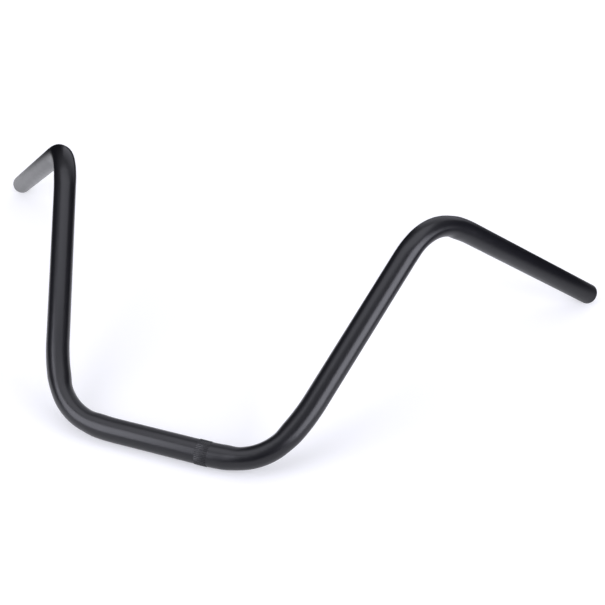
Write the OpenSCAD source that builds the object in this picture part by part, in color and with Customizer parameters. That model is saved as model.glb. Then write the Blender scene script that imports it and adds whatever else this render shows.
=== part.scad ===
// Motorcycle handlebar, bent from one round steel tube
// Left and right halves mirror each other, apart from one knurled band
// The bar lies as it rests on a floor: on the band and on the lower rims of its two grip ends
// Origin: middle of the centre section, on the tube's axis
// +X runs along the centre section, +Y towards the grips, +Z up

/* [Tube] */
// Outside diameter of the tube
tube_d = 25.4; // [20:0.1:32]
// Wall thickness of the tube
wall_t = 2.4; // [1.5:0.1:4]
// Chamfer on the outer edge of each open end
end_chamfer = 0.8; // [0.2:0.1:1.2]

/* [Straights] */
// Straight length of the centre section, between its two bends
centre_len = 100; // [80:1:240]
// Straight length of each upright
upright_len = 176; // [80:1:300]
// Straight length of each grip end
grip_len = 251.5; // [120:0.5:320]

/* [Bends] */
// Radius of every bend, at the tube's axis
bend_r = 66.5; // [50:0.5:90]
// Radius of the slight curve that leads into and out of every bend
ease_r = 226; // [150:1:400]
// Angle that each lower bend turns, its lead-in and lead-out included
lower_bend_a = 72.5; // [50:0.5:85]
// Part of the lower bend's angle that its lead-in takes
lower_lead_in_a = 7; // [2:0.1:12]
// Part of the lower bend's angle that its lead-out takes
lower_lead_out_a = 12; // [2:0.1:16]
// Angle that each upper bend turns, its lead-in and lead-out included
upper_bend_a = 73.2; // [50:0.1:85]
// Part of the upper bend's angle that its lead-in takes
upper_lead_in_a = 4.2; // [2:0.1:12]
// Part of the upper bend's angle that its lead-out takes
upper_lead_out_a = 8.4; // [2:0.1:16]
// Turn of the upper bend's plane about the upright, from the lower bend's plane
plane_turn_a = 121.5; // [100:0.5:140]

/* [Knurled band] */
// Distance from the middle of the bar to the middle of the band
knurl_x = 47.5; // [20:0.5:60]
// Width of the band along the tube
knurl_len = 14; // [6:0.5:20]
// Height of the ridges above the tube
knurl_h = 0.4; // [0.2:0.05:1]
// Number of ridges around the tube
knurl_count = 40; // [24:1:60]

/* [Hidden] */
$fn = 96;
tube_r = tube_d / 2;
bore_r = tube_r - wall_t;
// Depth to which the ridges are rooted in the wall
knurl_root = 0.3;
// Width of the bevel at both ends of the ridges
knurl_bevel = knurl_h;
// Step in radius where a curved stretch is seated in its neighbour
seat = 0.06;
// Length by which it is seated
seat_len = 0.8;
// Length by which the bore is cut past the open ends
bore_overrun = 5;

// The line of the tube is followed as a frame: [place, heading, direction of the bend's centre]
function ahead(frame, len) = [frame[0] + len * frame[1], frame[1], frame[2]];
function around(frame, radius, angle) = [
    frame[0] + radius * (sin(angle) * frame[1] + (1 - cos(angle)) * frame[2]),
    cos(angle) * frame[1] + sin(angle) * frame[2],
    cos(angle) * frame[2] - sin(angle) * frame[1]
];
function turned(frame, angle) = [
    frame[0],
    frame[1],
    cos(angle) * frame[2] + sin(angle) * cross(frame[1], frame[2])
];
function bent(frame, angle, lead_in, lead_out) =
    around(around(around(frame, ease_r, lead_in), bend_r, angle - lead_in - lead_out), ease_r, lead_out);

// Frames along the right half, with the uprights still in the vertical plane through the centre section
middle = [[0, 0, 0], [1, 0, 0], [0, 0, 1]];
upright_foot = bent(ahead(middle, centre_len / 2), lower_bend_a, lower_lead_in_a, lower_lead_out_a);
upright_top = turned(ahead(upright_foot, upright_len), -plane_turn_a);
grip_foot = bent(upright_top, upper_bend_a, upper_lead_in_a, upper_lead_out_a);
rim = ahead(grip_foot, grip_len - end_chamfer);

// Turn about the centre section that brings the rim's lowest point level with the band's lowest ridge
rim_reach = norm([rim[0].y, rim[0].z]);
function rim_slope(turn) = rim[1].y * sin(turn) + rim[1].z * cos(turn);
function lie_turn(turn, rounds) = rounds == 0 ? turn : lie_turn(
    asin((tube_r * sqrt(1 - pow(rim_slope(turn), 2)) - tube_r - knurl_h) / rim_reach)
        - atan2(rim[0].z, rim[0].y),
    rounds - 1
);
lie_a = lie_turn(-atan2(rim[0].z, rim[0].y), 6);

// A straight rod along +Z, with what follows at its end
module straight(len, r) {
    cylinder(h = len, r = r);
    translate([0, 0, len])
        children();
}

// A curved rod that leaves the origin along +Z and curves towards +X, with what follows at its end
// It reaches by the lengths before and after into its neighbours
module arc(radius, angle, r, before, after) {
    before_a = before / radius * 180 / PI;
    after_a = after / radius * 180 / PI;
    translate([radius, 0, 0]) {
        rotate([90, 0, 180])
            rotate_extrude(angle = before_a + angle + after_a, start = -before_a)
                translate([radius, 0])
                    circle(r = r);
        rotate([0, angle, 0])
            translate([-radius, 0, 0])
                children();
    }
}

// A whole bend: lead-in, bend and lead-out
// Each stretch is a hair thinner than the one that it is seated in, so that no two surfaces graze
module bend(angle, lead_in, lead_out, r) {
    arc(ease_r, lead_in, r - seat, seat_len, 0)
        arc(bend_r, angle - lead_in - lead_out, r - 2 * seat, seat_len, seat_len)
            arc(ease_r, lead_out, r - seat, 0, seat_len)
                children();
}

// Right half of the bar as a solid rod, from the middle to the grip end
module half_rod(r) {
    rotate([0, 90, 0])
        rotate([0, 0, 180])
            straight(centre_len / 2, r)
                bend(lower_bend_a, lower_lead_in_a, lower_lead_out_a, r)
                    straight(upright_len, r)
                        rotate([0, 0, -plane_turn_a])
                            bend(upper_bend_a, upper_lead_in_a, upper_lead_out_a, r)
                                children();
}

// Grip end of the outside, with its chamfered edge
module grip_outside() {
    straight(grip_len - end_chamfer, tube_r)
        cylinder(h = end_chamfer, r1 = tube_r, r2 = tube_r - end_chamfer);
}

// Outside of one half, without the bore
module half_outside() {
    half_rod(tube_r)
        grip_outside();
}

// Hollow of one half, cut past its open end
module half_bore() {
    half_rod(bore_r)
        cylinder(h = grip_len + bore_overrun, r = bore_r);
}

// Section of the ridges across the tube: a star whose hollows lie inside the wall
module ridges_section() {
    polygon([
        for (i = [0 : 2 * knurl_count - 1])
            let (
                a = 180 * i / knurl_count,
                r = i % 2 == 0 ? tube_r + knurl_h : tube_r - knurl_root
            )
            [r * cos(a), r * sin(a)]
    ]);
}

// Envelope of the band, bevelled at both ends
module band_envelope() {
    cylinder(h = knurl_bevel, r1 = tube_r, r2 = tube_r + knurl_h);
    translate([0, 0, knurl_bevel])
        cylinder(h = knurl_len - 2 * knurl_bevel, r = tube_r + knurl_h);
    translate([0, 0, knurl_len - knurl_bevel])
        cylinder(h = knurl_bevel, r1 = tube_r + knurl_h, r2 = tube_r);
}

// Knurled band that keeps the bar from turning in its clamps
module knurled_band() {
    translate([knurl_x - knurl_len / 2, 0, 0])
        rotate([0, 90, 0])
            intersection() {
                linear_extrude(knurl_len)
                    ridges_section();
                band_envelope();
            }
}

// The whole bar, one piece
module handlebar() {
    color([0.16, 0.16, 0.17])
        rotate([lie_a, 0, 0])
            difference() {
                union() {
                    half_outside();
                    mirror([1, 0, 0])
                        half_outside();
                    knurled_band();
                }
                half_bore();
                mirror([1, 0, 0])
                    half_bore();
            }
}

handlebar();
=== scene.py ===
"""Visual model of a motorcycle handlebar that is bent from one steel tube.

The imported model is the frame. The bar's tube and its knurled band are swept along
the same line as the solid, with the slight flattening that bending leaves in a tube,
and get a satin black powder coat. Lengths are in metres. Angles are in degrees, apart
from those that are said to be in radians.
"""
import logging
import math
from collections.abc import Callable
from dataclasses import dataclass, field, replace
from enum import Enum
from typing import ClassVar

import bmesh
import bpy
from mathutils import Matrix, Vector


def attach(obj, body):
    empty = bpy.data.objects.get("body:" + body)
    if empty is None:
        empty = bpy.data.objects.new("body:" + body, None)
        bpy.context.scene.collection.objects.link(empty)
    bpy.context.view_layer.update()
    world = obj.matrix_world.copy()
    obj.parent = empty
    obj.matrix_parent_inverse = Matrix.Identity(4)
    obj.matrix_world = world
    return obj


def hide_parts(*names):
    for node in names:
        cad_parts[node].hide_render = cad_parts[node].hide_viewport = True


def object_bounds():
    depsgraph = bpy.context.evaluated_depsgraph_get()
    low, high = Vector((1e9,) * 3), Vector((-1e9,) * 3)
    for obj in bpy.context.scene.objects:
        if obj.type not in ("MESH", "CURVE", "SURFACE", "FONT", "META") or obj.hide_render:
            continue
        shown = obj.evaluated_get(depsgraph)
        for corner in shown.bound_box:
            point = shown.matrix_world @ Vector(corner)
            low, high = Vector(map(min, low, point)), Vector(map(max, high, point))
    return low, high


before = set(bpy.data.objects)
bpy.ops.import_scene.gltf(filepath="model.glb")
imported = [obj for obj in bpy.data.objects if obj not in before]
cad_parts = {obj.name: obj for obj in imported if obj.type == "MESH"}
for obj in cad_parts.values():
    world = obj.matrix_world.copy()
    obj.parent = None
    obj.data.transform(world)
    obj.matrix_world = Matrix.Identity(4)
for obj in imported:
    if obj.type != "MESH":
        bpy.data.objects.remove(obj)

CAD_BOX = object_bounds()
FLOOR_LEVEL = CAD_BOX[0][2]
NODE = "handlebar"
BODY = "root"
MM = 0.001

Colour = tuple[float, float, float]

log = logging.getLogger(NODE)


class Side(Enum):
    """The two ends of the bar, as the sign of X."""

    LEFT = -1
    RIGHT = 1


@dataclass(frozen=True)
class Station:
    """One place on the tube's line, with the directions that its section needs.

    Attributes:
        place: centre of the section.
        heading: direction of the line, from the left end to the right end.
        inward: direction towards the centre of the bend.
        seam: direction of the section's first point, which never twists about the line.
        squeeze: share by which the section is flattened along inward.
    """

    place: Vector
    heading: Vector
    inward: Vector
    seam: Vector
    squeeze: float = 0.0

    def mirrored(self) -> "Station":
        """Return the same station on the other half of the bar.

        Returns:
            The mirrored station, which still heads to the right.
        """
        flip = Vector((-1, 1, 1))
        return replace(
            self,
            place=self.place * flip,
            heading=-(self.heading * flip),
            inward=self.inward * flip,
            seam=self.seam * flip,
        )

    def turned(self, turn: Matrix) -> "Station":
        """Return the station after a turn of the whole bar.

        Args:
            turn: the turn, as a matrix of 3 by 3.

        Returns:
            The turned station.
        """
        return replace(
            self,
            place=turn @ self.place,
            heading=turn @ self.heading,
            inward=turn @ self.inward,
            seam=turn @ self.seam,
        )

    def shifted(self, length: float) -> "Station":
        """Return the station moved along its heading."""
        return replace(self, place=self.place + length * self.heading)


@dataclass(frozen=True)
class Bend:
    """One bend of the tube.

    Attributes:
        angle: the whole angle that it turns.
        lead_in: the share of that angle in the gentle stretch at its start.
        lead_out: the share of that angle in the gentle stretch at its end.
    """

    angle: float
    lead_in: float
    lead_out: float

    @property
    def tight(self) -> float:
        """Return the angle of the tight stretch in the middle."""
        return self.angle - self.lead_in - self.lead_out


def smooth_step(value: float) -> float:
    """Return a smooth ramp from 0 to 1.

    Args:
        value: where on the ramp, held between 0 and 1.

    Returns:
        The height of the ramp there.
    """
    held = min(max(value, 0.0), 1.0)
    return held * held * (3 - 2 * held)


@dataclass
class Walker:
    """Walks along the tube's line and notes a station at each stop.

    Attributes:
        place: where it is.
        heading: direction in which it walks.
        inward: direction towards the centre of the next bend.
        seam_turn: turn of the seam from inward about the line, in radians.
        stations: the stations that it has noted.
    """

    place: Vector = field(default_factory=Vector)
    heading: Vector = field(default_factory=lambda: Vector((1, 0, 0)))
    inward: Vector = field(default_factory=lambda: Vector((0, 0, 1)))
    seam_turn: float = 0.0
    stations: list[Station] = field(default_factory=list)

    def stop(self, squeeze: float = 0.0) -> None:
        """Note a station here.

        Args:
            squeeze: share by which the section is flattened here.
        """
        beside = self.heading.cross(self.inward)
        seam = math.cos(self.seam_turn) * self.inward + math.sin(self.seam_turn) * beside
        self.stations.append(Station(self.place, self.heading, self.inward, seam, squeeze))

    def ahead(self, length: float) -> None:
        """Walk straight ahead, and stop."""
        self.place = self.place + length * self.heading
        self.stop()

    def roll(self, angle: float) -> None:
        """Turn the plane of the next bend about the line, while the seam stays.

        Args:
            angle: angle of the turn.
        """
        turn = math.radians(angle)
        beside = self.heading.cross(self.inward)
        self.inward = math.cos(turn) * self.inward + math.sin(turn) * beside
        self.seam_turn -= turn

    def arc(self, radius: float, angle: float, steps: int, squeeze: Callable[[float], float]) -> None:
        """Walk along an arc, with a stop after each step.

        Args:
            radius: radius of the arc.
            angle: angle that it turns.
            steps: number of steps.
            squeeze: gives the flattening at a length along the arc.
        """
        place, heading, inward = self.place, self.heading, self.inward
        for step in range(1, steps + 1):
            turn = math.radians(angle * step / steps)
            sine, cosine = math.sin(turn), math.cos(turn)
            self.place = place + radius * (sine * heading + (1 - cosine) * inward)
            self.heading = cosine * heading + sine * inward
            self.inward = cosine * inward - sine * heading
            self.stop(squeeze(radius * turn))


@dataclass
class TubeLine:
    """The line along the tube's axis: straights joined by eased bends, as in the solid.

    Attributes:
        centre_len: length of the straight clamp section.
        upright_len: length of each straight upright.
        grip_len: length of each straight grip end.
        bend_r: radius of the axis in the tight stretch of a bend.
        ease_r: radius of the axis in the gentle stretches of a bend.
        lower: the bend between the clamp section and an upright.
        upper: the bend between an upright and a grip end.
        plane_turn: turn of the upper bend's plane about the upright.
        tube_r: radius of the tube's outside.
        end_chamfer: chamfer of the solid's rims, on which the bar lies.
        knurl_h: height of the knurled ridges, on which the bar lies too.
        flattening: share by which bending flattens the tube in the bend's plane.
        flatten_ramp: half the length over which the flattening grows or goes.
        step_length: greatest distance between two stations in a bend.
        lie_rounds: rounds in which the turn of the lying bar is worked out.
        half: stations of the right half, from the middle to the end.
    """

    centre_len: float = 100 * MM
    upright_len: float = 176 * MM
    grip_len: float = 251.5 * MM
    bend_r: float = 66.5 * MM
    ease_r: float = 226 * MM
    lower: Bend = Bend(angle=72.5, lead_in=7, lead_out=12)
    upper: Bend = Bend(angle=73.2, lead_in=4.2, lead_out=8.4)
    plane_turn: float = 121.5
    tube_r: float = 12.7 * MM
    end_chamfer: float = 0.8 * MM
    knurl_h: float = 0.4 * MM
    flattening: float = 0.09
    flatten_ramp: float = 9 * MM
    step_length: float = 1.45 * MM
    lie_rounds: int = 6
    half: list[Station] = field(init=False)

    def __post_init__(self) -> None:
        """Follow the right half and lay the bar down."""
        walker = Walker()
        walker.stop()
        walker.ahead(self.centre_len / 2)
        self.bend(walker, self.lower)
        walker.ahead(self.upright_len)
        walker.roll(-self.plane_turn)
        self.bend(walker, self.upper)
        walker.ahead(self.grip_len)
        turn = Matrix.Rotation(self.lie_turn(walker.stations[-1]), 3, "X")
        self.half = [station.turned(turn) for station in walker.stations]

    def bend(self, walker: Walker, bend: Bend) -> None:
        """Walk a whole bend.

        Args:
            walker: the walker, at the start of the bend.
            bend: the bend's angles.
        """
        lead_in = self.ease_r * math.radians(bend.lead_in)
        tight = self.bend_r * math.radians(bend.tight)
        lead_out = self.ease_r * math.radians(bend.lead_out)
        ramp = self.flatten_ramp

        def squeeze_from(start: float) -> Callable[[float], float]:
            """Return the flattening along one stretch of the bend.

            Args:
                start: length along the bend at which the stretch starts.

            Returns:
                A function that gives the flattening at a length along the stretch.
            """

            def squeeze(along: float) -> float:
                """Return the flattening, which grows and goes over a ramp at each end.

                Args:
                    along: length along the stretch.

                Returns:
                    The share by which the section is flattened there.
                """
                grown = smooth_step((start + along - lead_in + ramp) / (2 * ramp))
                gone = smooth_step((lead_in + tight + ramp - start - along) / (2 * ramp))
                return self.flattening * grown * gone

            return squeeze

        def steps(length: float) -> int:
            """Return the number of steps for a length."""
            return math.ceil(length / self.step_length)

        walker.arc(self.ease_r, bend.lead_in, steps(lead_in), squeeze_from(0))
        walker.arc(self.bend_r, bend.tight, steps(tight), squeeze_from(lead_in))
        walker.arc(self.ease_r, bend.lead_out, steps(lead_out), squeeze_from(lead_in + tight))

    def lie_turn(self, end: Station) -> float:
        """Return the turn about X, in radians, at which the bar lies on the floor.

        Args:
            end: the right end's station before the turn.

        Returns:
            The turn that lays both end rims level with the knurled band.
        """
        rim = end.shifted(-self.end_chamfer)
        reach = math.hypot(rim.place.y, rim.place.z)
        level_turn = -math.atan2(rim.place.z, rim.place.y)
        turn = level_turn
        for _ in range(self.lie_rounds):
            slope = rim.heading.y * math.sin(turn) + rim.heading.z * math.cos(turn)
            drop = self.tube_r * math.sqrt(1 - slope * slope)
            turn = level_turn + math.asin((drop - self.tube_r - self.knurl_h) / reach)
        return turn

    def stations(self) -> list[Station]:
        """Return the whole line's stations, from the left end to the right end."""
        left = [station.mirrored() for station in reversed(self.half[1:])]
        return left + self.half


@dataclass(frozen=True)
class Row:
    """One ring of a swept surface.

    Attributes:
        station: where the ring is, and its directions.
        radius: radius of the ring, at its troughs where it has ridges.
        ridge: height of its ridges.
    """

    station: Station
    radius: float
    ridge: float = 0.0


class Nodes:
    """A node tree of any kind, with short ways to add linked nodes."""

    def __init__(self, tree: bpy.types.NodeTree) -> None:
        """Keep the tree.

        Args:
            tree: the node tree to add to.
        """
        self.tree = tree

    def add(self, kind: str, links: dict[str | int, object], **settings: object) -> bpy.types.Node:
        """Add a node.

        Args:
            kind: the node's type.
            links: for each input, by name or number, a socket to link or a value to set.
            settings: the node's own properties.

        Returns:
            The new node.
        """
        node = self.tree.nodes.new(kind)
        for key, value in settings.items():
            setattr(node, key, value)
        for key, value in links.items():
            if isinstance(value, bpy.types.NodeSocket):
                self.tree.links.new(value, node.inputs[key])
            else:
                node.inputs[key].default_value = value
        return node

    def math(self, operation: str, *values: object) -> bpy.types.NodeSocket:
        """Return the result of a Math node."""
        return self.add("ShaderNodeMath", dict(enumerate(values)), operation=operation).outputs[0]

    def scaled(self, vector: bpy.types.NodeSocket, scale: object) -> bpy.types.NodeSocket:
        """Return a vector times a number."""
        return self.add("ShaderNodeVectorMath", {0: vector, "Scale": scale}, operation="SCALE").outputs[0]

    def summed(self, *vectors: bpy.types.NodeSocket) -> bpy.types.NodeSocket:
        """Return the sum of some vectors.

        Args:
            vectors: the vectors, two or more.

        Returns:
            Their sum.
        """
        total = vectors[0]
        for vector in vectors[1:]:
            total = self.add("ShaderNodeVectorMath", {0: total, 1: vector}, operation="ADD").outputs[0]
        return total

    def dot(self, one: bpy.types.NodeSocket, other: bpy.types.NodeSocket) -> bpy.types.NodeSocket:
        """Return the dot product of two vectors."""
        node = self.add("ShaderNodeVectorMath", {0: one, 1: other}, operation="DOT_PRODUCT")
        return node.outputs["Value"]


@dataclass
class RingSweep:
    """A closed surface through rings, made by a geometry node tree.

    The rings are the points of a guide mesh, with each ring's directions, radius, flattening and
    ridge height as attributes. The last ring joins the first, so the surface is closed.

    Attributes:
        name: name of the piece.
        sides: points around each ring.
        ridges: ridges around a ring that has a ridge height.
        widening: how much of the flattening goes into width across the bend.
        weld: distance under which points are joined.
    """

    name: str
    sides: int
    ridges: int = 0
    widening: float = 0.3
    weld: float = 0.001 * MM

    VECTORS: ClassVar[tuple[str, ...]] = ("seam", "beside", "inward", "sideways")
    NUMBERS: ClassVar[tuple[str, ...]] = ("radius", "squeeze", "ridge")
    INPUTS: ClassVar[dict[str, str]] = {
        "Guide": "Geometry",
        "Sides": "Int",
        "Ridges": "Int",
        "Widening": "Float",
        "Weld": "Float",
        "Material": "Material",
    }

    def guide(self, rows: list[Row]) -> bpy.types.Mesh:
        """Return the guide mesh.

        Args:
            rows: the rings, in order around the closed section of the wall.

        Returns:
            A mesh of loose points with the rings' values as attributes.
        """
        mesh = bpy.data.meshes.new(self.name + "_guide")
        mesh.from_pydata([row.station.place for row in rows], [], [])
        values: dict[str, list[float]] = {name: [] for name in self.VECTORS + self.NUMBERS}
        for row in rows:
            at = row.station
            values["seam"] += list(at.seam)
            values["beside"] += list(at.heading.cross(at.seam))
            values["inward"] += list(at.inward)
            values["sideways"] += list(at.heading.cross(at.inward))
            values["radius"].append(row.radius)
            values["squeeze"].append(at.squeeze)
            values["ridge"].append(row.ridge)
        for name in self.VECTORS:
            mesh.attributes.new(name, "FLOAT_VECTOR", "POINT").data.foreach_set("vector", values[name])
        for name in self.NUMBERS:
            mesh.attributes.new(name, "FLOAT", "POINT").data.foreach_set("value", values[name])
        return mesh

    def tree(self) -> bpy.types.NodeTree:
        """Return the node tree that turns a guide mesh into the swept surface.

        Returns:
            The tree, with INPUTS as its inputs and the surface as its output.
        """
        tree = bpy.data.node_groups.new(self.name + "_sweep", "GeometryNodeTree")
        for name, kind in self.INPUTS.items():
            tree.interface.new_socket(name=name, in_out="INPUT", socket_type="NodeSocket" + kind)
        tree.interface.new_socket(name="Surface", in_out="OUTPUT", socket_type="NodeSocketGeometry")
        build = Nodes(tree)
        given = dict(build.add("NodeGroupInput", {}).outputs.items())
        grid, pick, angle = self.wrapped_grid(build, given)
        place = self.skin_place(build, given, pick, angle)
        moved = build.add("GeometryNodeSetPosition", {"Geometry": grid, "Position": place})
        welded = build.add(
            "GeometryNodeMergeByDistance",
            {"Geometry": moved.outputs[0], "Distance": given["Weld"]},
        )
        smooth = build.add("GeometryNodeSetShadeSmooth", {"Geometry": welded.outputs[0]})
        real = build.add("GeometryNodeRealizeInstances", {"Geometry": smooth.outputs[0]})
        done = build.add(
            "GeometryNodeSetMaterial",
            {"Geometry": real.outputs[0], "Material": given["Material"]},
        )
        build.add("NodeGroupOutput", {"Surface": done.outputs[0]})
        return tree

    def wrapped_grid(
        self, build: Nodes, given: dict[str, bpy.types.NodeSocket]
    ) -> tuple[bpy.types.NodeSocket, ...]:
        """Add the grid that becomes the surface.

        Args:
            build: the tree's nodes.
            given: the tree's inputs.

        Returns:
            The grid, and for each of its points the number of its ring and its angle, in
            radians, around that ring.
        """
        # A grid with one more column and one more row than the surface has closes both ways.
        size = build.add("GeometryNodeAttributeDomainSize", {"Geometry": given["Guide"]})
        rows = size.outputs["Point Count"]
        across = build.math("ADD", given["Sides"], 1)
        grid = build.add(
            "GeometryNodeMeshGrid",
            {"Vertices X": build.math("ADD", rows, 1), "Vertices Y": across},
        )

        # The grid's points run along its rows. Half a point more keeps the division from falling
        # just short of a whole row.
        index = build.add("GeometryNodeInputIndex", {}).outputs[0]
        row = build.math("FLOOR", build.math("DIVIDE", build.math("ADD", index, 0.5), across))
        column = build.math("SUBTRACT", index, build.math("MULTIPLY", row, across))
        angle = build.math("MULTIPLY", build.math("DIVIDE", column, given["Sides"]), math.tau)
        pick = build.math("FLOORED_MODULO", row, rows)
        return grid.outputs["Mesh"], pick, angle

    def skin_place(
        self,
        build: Nodes,
        given: dict[str, bpy.types.NodeSocket],
        pick: bpy.types.NodeSocket,
        angle: bpy.types.NodeSocket,
    ) -> bpy.types.NodeSocket:
        """Return the place of each of the grid's points on the surface.

        Args:
            build: the tree's nodes.
            given: the tree's inputs.
            pick: number of the point's ring.
            angle: angle of the point around its ring, in radians.

        Returns:
            A socket with the place.
        """

        def sampled(kind: str, value: bpy.types.NodeSocket) -> bpy.types.NodeSocket:
            """Return the guide's value at the picked ring.

            Args:
                kind: the value's data type.
                value: the value, as a field on the guide's points.

            Returns:
                A socket with the value at the ring of each of the grid's points.
            """
            node = build.add(
                "GeometryNodeSampleIndex", {"Geometry": given["Guide"]}, data_type=kind, domain="POINT"
            )
            build.tree.links.new(value, node.inputs["Value"])
            build.tree.links.new(pick, node.inputs["Index"])
            return node.outputs["Value"]

        def named(name: str, kind: str) -> bpy.types.NodeSocket:
            """Return a named attribute of the guide at the picked ring."""
            node = build.add("GeometryNodeInputNamedAttribute", {"Name": name}, data_type=kind)
            return sampled(kind, node.outputs["Attribute"])

        centre = sampled("FLOAT_VECTOR", build.add("GeometryNodeInputPosition", {}).outputs[0])
        seam, beside, inward, sideways = (named(name, "FLOAT_VECTOR") for name in self.VECTORS)
        radius, squeeze, ridge = (named(name, "FLOAT") for name in self.NUMBERS)

        # Ridges rise from the ring's radius: the crest is 0 in a trough and 1 on a ridge.
        wave = build.math("COSINE", build.math("MULTIPLY", angle, given["Ridges"]))
        crest = build.math("MULTIPLY_ADD", wave, 0.5, 0.5)
        reach = build.math("MULTIPLY_ADD", ridge, crest, radius)
        ring = build.summed(
            build.scaled(seam, build.math("MULTIPLY", reach, build.math("COSINE", angle))),
            build.scaled(beside, build.math("MULTIPLY", reach, build.math("SINE", angle))),
        )

        # The whole ring is flattened in the bend's plane, and gets a little wider across it.
        flat = build.math("MULTIPLY", build.dot(ring, inward), build.math("MULTIPLY", squeeze, -1))
        swell = build.math("MULTIPLY", squeeze, given["Widening"])
        wide = build.math("MULTIPLY", build.dot(ring, sideways), swell)
        return build.summed(centre, ring, build.scaled(inward, flat), build.scaled(sideways, wide))

    def piece(self, rows: list[Row], material: bpy.types.Material) -> bpy.types.Object:
        """Return the swept surface as a plain closed mesh.

        Args:
            rows: the rings, in order around the closed section of the wall.
            material: the finish of the surface.

        Returns:
            The finished piece, at the origin, with outward faces.
        """
        piece = bpy.data.objects.new(self.name, self.guide(rows))
        bpy.context.scene.collection.objects.link(piece)
        modifier = piece.modifiers.new("sweep", "NODES")
        modifier.node_group = self.tree()
        inputs = {
            "Sides": self.sides,
            "Ridges": self.ridges,
            "Widening": self.widening,
            "Weld": self.weld,
            "Material": material,
        }
        for item in modifier.node_group.interface.items_tree:
            if item.in_out == "INPUT" and item.name in inputs:
                modifier[item.identifier] = inputs[item.name]
        graph = bpy.context.evaluated_depsgraph_get()
        mesh = bpy.data.meshes.new_from_object(piece.evaluated_get(graph))
        mesh.name = self.name
        piece.modifiers.remove(modifier)
        piece.data = mesh
        face_outwards(mesh)
        return piece


def face_outwards(mesh: bpy.types.Mesh) -> None:
    """Turn a closed mesh's faces outwards.

    Args:
        mesh: the mesh, which is changed in place.
    """
    work = bmesh.new()
    work.from_mesh(mesh)
    bmesh.ops.recalc_face_normals(work, faces=work.faces)
    if work.calc_volume(signed=True) < 0:
        bmesh.ops.reverse_faces(work, faces=work.faces)
    work.to_mesh(mesh)
    work.free()


def quarter(steps: int) -> list[float]:
    """Return angles from 0 to a quarter turn, in radians."""
    return [math.pi / 2 * step / steps for step in range(steps + 1)]


@dataclass
class Tube:
    """The bar's tube: its wall, its bore and its two rounded rims.

    Attributes:
        line: the line along its axis.
        wall: thickness of its wall.
        outer_round: radius of each rim's outer edge.
        inner_round: radius of each rim's inner edge.
        round_steps: steps around each of those edges.
        sides: points around the tube.
    """

    line: TubeLine
    wall: float = 2.4 * MM
    outer_round: float = 0.8 * MM
    inner_round: float = 0.4 * MM
    round_steps: int = 5
    sides: int = 96

    @property
    def bore_r(self) -> float:
        """Return the radius of the bore."""
        return self.line.tube_r - self.wall

    def rim(self, side: Side) -> list[Row]:
        """Return the rings over one rim, from the outside to the bore.

        Args:
            side: which end of the bar.

        Returns:
            The rings of the two rounded edges.
        """
        end = self.line.stations()[-1 if side is Side.RIGHT else 0]
        rows = []
        for turn in quarter(self.round_steps):
            back = self.outer_round * (1 - math.sin(turn))
            radius = self.line.tube_r - self.outer_round * (1 - math.cos(turn))
            rows.append(Row(end.shifted(-back * side.value), radius))
        for turn in quarter(self.round_steps):
            back = self.inner_round * (1 - math.cos(turn))
            radius = self.bore_r + self.inner_round * (1 - math.sin(turn))
            rows.append(Row(end.shifted(-back * side.value), radius))
        return rows

    def rows(self) -> list[Row]:
        """Return the rings around the wall.

        Returns:
            The rings of the outside, the right rim, the bore and the left rim, in that order.
        """
        between = self.line.stations()[1:-1]
        outside = [Row(station, self.line.tube_r) for station in between]
        bore = [Row(station, self.bore_r) for station in reversed(between)]
        return outside + self.rim(Side.RIGHT) + bore + self.rim(Side.LEFT)[::-1]

    def build(self, material: bpy.types.Material) -> bpy.types.Object:
        """Return the finished tube."""
        return RingSweep("bar_tube", self.sides).piece(self.rows(), material)


@dataclass
class KnurledBand:
    """The ring of ridges that keeps the bar from turning in its clamps.

    Attributes:
        line: the tube's line, which gives the clamp section and the ridges' height.
        middle: distance of the band from the middle of the bar.
        width: length of the band along the tube.
        ridges: number of ridges around the tube.
        fade: length over which a ridge rises at each end.
        fade_steps: steps of that rise.
        sink: how deep the troughs lie inside the tube's wall.
        root: how deep the band's inner face lies inside the tube's wall.
        points_per_ridge: points across each ridge.
    """

    line: TubeLine
    middle: float = 47.5 * MM
    width: float = 14 * MM
    ridges: int = 40
    fade: float = 0.45 * MM
    fade_steps: int = 4
    sink: float = 0.05 * MM
    root: float = 0.5 * MM
    points_per_ridge: int = 10

    def rows(self) -> list[Row]:
        """Return the rings around the band.

        Returns:
            The rings along the ridges from left to right, and two plain ones inside the wall.
        """
        centre = self.line.half[0]
        start, end = self.middle - self.width / 2, self.middle + self.width / 2
        skin = self.line.tube_r - self.sink
        height = self.line.knurl_h + self.sink
        shares = [step / self.fade_steps for step in range(self.fade_steps + 1)]
        rows = []
        for share in shares:
            place = start + share * self.fade
            rows.append(Row(centre.shifted(place), skin, height * smooth_step(share)))
        for share in reversed(shares):
            place = end - share * self.fade
            rows.append(Row(centre.shifted(place), skin, height * smooth_step(share)))
        inside = self.line.tube_r - self.root
        return rows + [Row(centre.shifted(end), inside), Row(centre.shifted(start), inside)]

    def build(self, material: bpy.types.Material) -> bpy.types.Object:
        """Return the finished band."""
        sweep = RingSweep("knurled_band", self.ridges * self.points_per_ridge, self.ridges)
        return sweep.piece(self.rows(), material)


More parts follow.
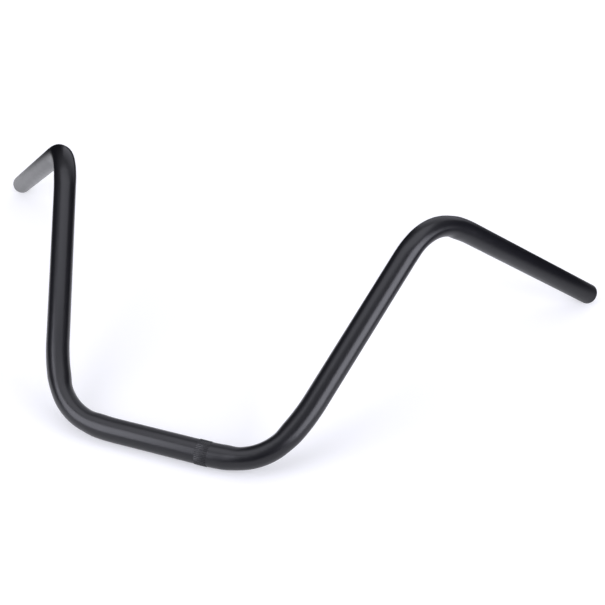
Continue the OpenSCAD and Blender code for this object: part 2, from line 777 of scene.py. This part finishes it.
@dataclass(frozen=True)
class PowderCoat:
    """Satin black powder coat: a fine orange-peel skin over steel.

    Attributes:
        name: name of the material.
        dark: colour where the coat is darkest.
        light: colour where the coat is lightest.
        ior: index of refraction of the resin.
        smoothest: roughness of its smoothest places.
        dullest: roughness of its dullest places.
        patch_size: size of the slow changes of colour.
        cloud_size: size of the slow changes of roughness.
        peel_size: size of the orange-peel ripples.
        grain_size: size of the powder grain.
        peel_depth: height of the ripples.
        grain_depth: height of the grain.
    """

    name: str = "satin_black_powder_coat"
    dark: Colour = (0.006, 0.006, 0.0078)
    light: Colour = (0.009, 0.009, 0.0112)
    ior: float = 1.5
    smoothest: float = 0.27
    dullest: float = 0.33
    patch_size: float = 24 * MM
    cloud_size: float = 8 * MM
    peel_size: float = 1.6 * MM
    grain_size: float = 0.35 * MM
    peel_depth: float = 0.035 * MM
    grain_depth: float = 0.008 * MM

    def material(self) -> bpy.types.Material:
        """Return the finish as a material on object coordinates.

        Returns:
            The material, with its noises as bumps and as slow changes of colour and roughness.
        """
        material = bpy.data.materials.new(self.name)
        material.use_nodes = True
        nodes = Nodes(material.node_tree)
        shader = material.node_tree.nodes["Principled BSDF"].inputs
        shader["IOR"].default_value = self.ior
        where = nodes.add("ShaderNodeTexCoord", {}).outputs["Object"]

        def noise(size: float, detail: float) -> bpy.types.NodeSocket:
            """Return a noise.

            Args:
                size: size of its largest lumps.
                detail: how many times finer lumps are laid over them.

            Returns:
                A socket with the noise at the shaded place.
            """
            links = {"Vector": where, "Scale": 1.0 / size, "Detail": detail}
            return nodes.add("ShaderNodeTexNoise", links).outputs["Fac"]

        tone = nodes.add(
            "ShaderNodeMix",
            {"Factor": noise(self.patch_size, detail=3)},
            data_type="RGBA",
        )
        tone.inputs["A"].default_value = (*self.dark, 1)
        tone.inputs["B"].default_value = (*self.light, 1)
        gloss = nodes.add(
            "ShaderNodeMapRange",
            {
                "Value": noise(self.cloud_size, detail=4),
                "To Min": self.smoothest,
                "To Max": self.dullest,
            },
        )
        peel = nodes.add(
            "ShaderNodeBump",
            {"Height": noise(self.peel_size, detail=1), "Distance": self.peel_depth},
        )
        grain = nodes.add(
            "ShaderNodeBump",
            {
                "Height": noise(self.grain_size, detail=2),
                "Distance": self.grain_depth,
                "Normal": peel.outputs["Normal"],
            },
        )
        material.node_tree.links.new(tone.outputs["Result"], shader["Base Color"])
        material.node_tree.links.new(gloss.outputs["Result"], shader["Roughness"])
        material.node_tree.links.new(grain.outputs["Normal"], shader["Normal"])
        return material


@dataclass(frozen=True)
class Softbox:
    """One soft oblong lamp, placed by its direction from the bar.

    Attributes:
        name: name of the lamp.
        azimuth: direction towards it, in degrees from +X towards +Y.
        elevation: height of that direction, in degrees.
        distance: how far it stands from the point that it faces.
        width: length of its level sides.
        height: length of its other sides.
        brightness: how bright its face is, where 1 is white.
        roll: turn of its face about the direction that it faces, in degrees.
        colour: colour of its light.
    """

    name: str
    azimuth: float
    elevation: float
    distance: float
    width: float
    height: float
    brightness: float
    roll: float = 0.0
    colour: Colour = (0.96, 0.965, 1.075)

    def build(self, heart: Vector) -> None:
        """Add the lamp.

        Args:
            heart: the point that it faces.
        """
        light = bpy.data.lights.new(self.name, "AREA")
        light.shape = "RECTANGLE"
        light.size, light.size_y = self.width, self.height
        # A flat lamp's power is the brightness of its face times its area and pi.
        light.energy = self.brightness * math.pi * self.width * self.height
        light.color = self.colour
        around = Matrix.Rotation(math.radians(self.azimuth), 3, "Z")
        upwards = Matrix.Rotation(-math.radians(self.elevation), 3, "Y")
        away = around @ upwards @ Vector((1, 0, 0))
        facing = away.to_track_quat("Z", "Y").to_matrix()
        roll = Matrix.Rotation(math.radians(self.roll), 3, "Z")
        lamp = bpy.data.objects.new(self.name, light)
        lamp.location = heart + self.distance * away
        lamp.rotation_euler = (facing @ roll).to_euler()
        bpy.context.scene.collection.objects.link(lamp)


@dataclass(frozen=True)
class Pool:
    """A round pool on the floor with a soft edge.

    Attributes:
        middle: X and Y of its middle.
        full_to: radius up to which it has its full level.
        gone_at: radius at which it is gone.
        level: its full level.
    """

    middle: tuple[float, float]
    full_to: float
    gone_at: float
    level: float

    def socket(self, nodes: Nodes) -> bpy.types.NodeSocket:
        """Return the pool's level as a value of the floor's material.

        Args:
            nodes: the nodes of that material.

        Returns:
            A socket with the level at the shaded place.
        """
        where = nodes.add("ShaderNodeTexCoord", {}).outputs["Object"]
        centre = (*self.middle, FLOOR_LEVEL)
        offset = nodes.add("ShaderNodeVectorMath", {0: where, 1: centre}, operation="SUBTRACT")
        length = nodes.add("ShaderNodeVectorMath", {0: offset.outputs[0]}, operation="LENGTH")
        limits = {
            "Value": length.outputs["Value"],
            "From Min": self.full_to,
            "From Max": self.gone_at,
            "To Min": self.level,
            "To Max": 0.0,
        }
        return nodes.add("ShaderNodeMapRange", limits, interpolation_type="SMOOTHSTEP").outputs["Result"]


@dataclass(frozen=True)
class PhotoCamera:
    """The camera at the photograph's viewing angle.

    Attributes:
        place: where it stands.
        turn: its turn about X, Y and Z, in degrees.
        focal_px: focal length in pixels of the photograph.
        centre_px: the pixel that it looks straight at, because the photograph is a crop.
        image_px: width and height of the photograph in pixels.
        sensor: width of its sensor, in Blender's millimetres.
    """

    place: tuple[float, float, float] = (0.35257, -0.78887, 0.7889)
    turn: tuple[float, float, float] = (59.1193, -1.5681, 17.9708)
    focal_px: float = 1105.45
    centre_px: tuple[float, float] = (270.77, 215.68)
    image_px: int = 605
    sensor: float = 36.0

    def build(self) -> None:
        """Add the camera."""
        data = bpy.data.cameras.new("camera")
        data.sensor_width = self.sensor
        data.lens = self.focal_px / self.image_px * self.sensor
        # With no shift, the camera would look straight at the middle of the picture.
        data.shift_x = 0.5 - self.centre_px[0] / self.image_px
        data.shift_y = self.centre_px[1] / self.image_px - 0.5
        camera = bpy.data.objects.new("camera", data)
        camera.location = self.place
        camera.rotation_euler = [math.radians(angle) for angle in self.turn]
        bpy.context.scene.collection.objects.link(camera)
        bpy.context.scene.camera = camera


@dataclass
class Studio:
    """White floor, soft lamps, a dim room and the camera at the photograph's angle.

    The floor and the room are white to the camera. The coat mirrors a painted pool of light on the
    floor under the bar, painted black beyond it, with the dim room and the lamps above it.

    Attributes:
        heart: the point that the lamps face.
        lamps: the lamps.
        painted_light_pools: pools of painted light that the floor shows to all but the camera's rays,
            where 1 is all of it; beyond them the floor is painted black to those rays.
        lamp_spill: pools where the lamps light the floor, each with what its own light is less by.
        glow: strength of the floor's own light away from those pools.
        floor_colour: colour of the floor.
        floor_size: length of its sides.
        tint: colour of the floor's own light and of the room.
        ceiling: brightness of the room straight above.
        ceiling_power: how fast the room gets lighter towards the ceiling.
        backdrop: brightness of the room to the camera.
    """

    heart: Vector = field(default_factory=lambda: Vector((0, 0.2, 0.05)))
    lamps: tuple[Softbox, ...] = (
        Softbox(
            name="left_softbox",
            azimuth=-122.3,
            elevation=24.2,
            distance=1.17,
            width=0.70,
            height=1.04,
            brightness=4.1,
            roll=15,
        ),
        Softbox(
            name="right_softbox",
            azimuth=-20.8,
            elevation=15.8,
            distance=0.84,
            width=0.71,
            height=0.61,
            brightness=4.4,
            roll=26,
        ),
        Softbox(
            name="overhead_softbox",
            azimuth=114.6,
            elevation=89.5,
            distance=0.8,
            width=1.19,
            height=0.69,
            brightness=1.06,
        ),
        Softbox(
            name="back_reflector",
            azimuth=90,
            elevation=15,
            distance=3.5,
            width=3.5,
            height=4.0,
            brightness=0.6,
        ),
    )
    # Pools of painted light on the floor, as the coat mirrors it; the floor is painted black beyond them.
    painted_light_pools: tuple[Pool, ...] = (
        Pool(middle=(-0.08, 0.08), full_to=0.46, gone_at=0.8, level=0.77),
        Pool(middle=(-0.3, 0.2), full_to=0.2, gone_at=0.5, level=0.23),
    )
    lamp_spill: tuple[Pool, ...] = (
        Pool(middle=(0, 0.35), full_to=0.72, gone_at=1.05, level=0.72),
        Pool(middle=(0.72, -0.02), full_to=0.14, gone_at=0.61, level=0.34),
        Pool(middle=(0.4, -0.69), full_to=0.13, gone_at=2.13, level=0.48),
    )
    glow: float = 1.5
    floor_colour: Colour = (0.6, 0.6, 0.6)
    floor_size: float = 40.0
    tint: Colour = (0.98, 0.985, 1.035)
    ceiling: float = 0.59
    ceiling_power: float = 3.0
    backdrop: float = 1.15

    def seen_white(self, nodes: Nodes) -> bpy.types.NodeSocket:
        """Return 1 for the rays that show the white background, and 0 for the others.

        Glossy rays are among the others, because a coat that mirrored a white room on every
        side would look grey and flat.

        Args:
            nodes: the nodes of the floor's material or of the room.

        Returns:
            A socket with 1 or 0 for each ray.
        """
        path = nodes.add("ShaderNodeLightPath", {}).outputs
        return nodes.math("MAXIMUM", path["Is Camera Ray"], path["Is Transmission Ray"])

    def floor_material(self) -> bpy.types.Material:
        """Return the floor's material.

        Returns:
            A material that is white to the camera, keeps the bar's shadow, and to the other rays shows
            painted light in its pools and is painted black beyond them.
        """
        material = bpy.data.materials.new("white_floor")
        material.use_nodes = True
        material.node_tree.nodes.clear()
        nodes = Nodes(material.node_tree)
        matt = nodes.add("ShaderNodeBsdfDiffuse", {"Color": (*self.floor_colour, 1)})
        strength = self.glow
        for pool in self.lamp_spill:
            strength = nodes.math("SUBTRACT", strength, pool.socket(nodes))
        glow = nodes.add("ShaderNodeEmission", {"Color": (*self.tint, 1), "Strength": strength})
        white = nodes.add("ShaderNodeAddShader", {0: matt.outputs[0], 1: glow.outputs[0]})
        # Painted light: to all but the camera's rays the floor shows its glow only in the pools of
        # painted light, and is painted black beyond them.
        share = self.seen_white(nodes)
        for pool in self.painted_light_pools:
            share = nodes.math("ADD", share, pool.socket(nodes))
        share = nodes.math("MINIMUM", share, 1)
        dark = nodes.add("ShaderNodeBsdfDiffuse", {"Color": (0, 0, 0, 1)})
        mix = nodes.add("ShaderNodeMixShader", {0: share, 1: dark.outputs[0], 2: white.outputs[0]})
        nodes.add("ShaderNodeOutputMaterial", {"Surface": mix.outputs[0]})
        return material

    def floor(self) -> None:
        """Add the floor that the bar lies on."""
        mesh = bpy.data.meshes.new("floor")
        half = self.floor_size / 2
        square = [(-half, -half), (half, -half), (half, half), (-half, half)]
        mesh.from_pydata([(x, y, FLOOR_LEVEL) for x, y in square], [], [(0, 1, 2, 3)])
        mesh.materials.append(self.floor_material())
        floor = bpy.data.objects.new("floor", mesh)
        bpy.context.scene.collection.objects.link(floor)

    def room(self) -> None:
        """Add the room: dim with a lighter ceiling to the coat, and white to the camera."""
        world = bpy.data.worlds.new("room")
        world.use_nodes = True
        bpy.context.scene.world = world
        nodes = Nodes(world.node_tree)
        direction = nodes.add("ShaderNodeTexCoord", {}).outputs["Generated"]
        height = nodes.add("ShaderNodeSeparateXYZ", {0: direction}).outputs["Z"]
        rise = nodes.math("POWER", nodes.math("MAXIMUM", height, 0), self.ceiling_power)
        dim = nodes.math("MULTIPLY", rise, self.ceiling)
        strength = nodes.add(
            "ShaderNodeMix", {"Factor": self.seen_white(nodes), "A": dim, "B": self.backdrop}
        )
        back = world.node_tree.nodes["Background"]
        back.inputs["Color"].default_value = (*self.tint, 1)
        world.node_tree.links.new(strength.outputs["Result"], back.inputs["Strength"])

    def build(self) -> None:
        """Add the whole studio."""
        bpy.context.scene.view_settings.view_transform = "Standard"
        PhotoCamera().build()
        for lamp in self.lamps:
            lamp.build(self.heart)
        self.floor()
        self.room()


def main() -> None:
    """Build the studio and the bar's pieces, dress them, and note the sizes."""
    logging.basicConfig(level=logging.INFO, format="%(name)s: %(message)s")
    studio = Studio()
    studio.build()
    log.info("studio: %d lamps", len(studio.lamps))
    line = TubeLine()
    coat = PowderCoat().material()
    tube = Tube(line).build(coat)
    band = KnurledBand(line).build(coat)
    for piece in (tube, band):
        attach(piece, BODY)
        log.info("%s: %d faces", piece.name, len(piece.data.polygons))
    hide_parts(NODE)


if __name__ == "__main__":
    main()
